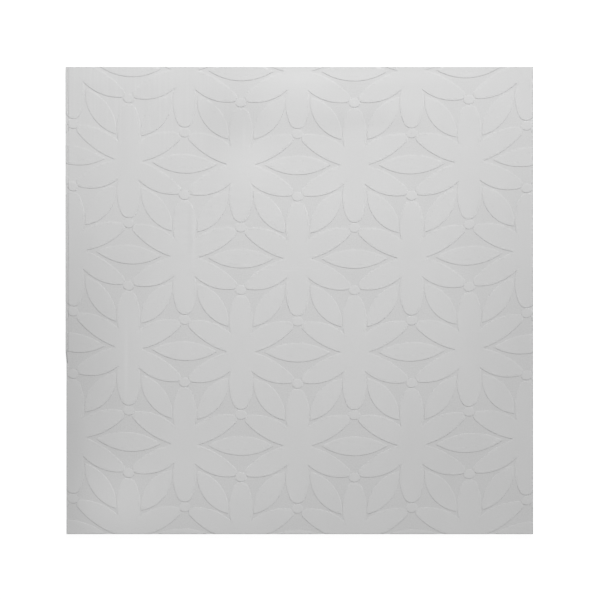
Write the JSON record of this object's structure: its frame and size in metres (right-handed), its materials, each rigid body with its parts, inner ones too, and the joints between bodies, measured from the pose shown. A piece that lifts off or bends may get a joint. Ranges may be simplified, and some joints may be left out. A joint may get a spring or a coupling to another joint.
{
  "type": "ceiling tile",
  "caption": "Square lay-in ceiling tile: a thin flat board with a pale film face embossed with an all-over lattice of petal flowers, pointed leaves and small oval beads.",
  "frame": {"origin": "centre of the tile's back, the face that rests on the ceiling grid's plenum side or on a floor", "axes": "+Z out of the embossed face, +Y towards the edge that is at the top in the picture, +X to the right"},
  "size_m": [0.595, 0.595, 0.007],
  "materials": {
    "film_face": "pale grey-white embossed film, dull satin on the raised parts and finely grained on the ground between them"
  },
  "bodies": {
    "root": {"tile": "film_face"}
  },
  "joints": []
}
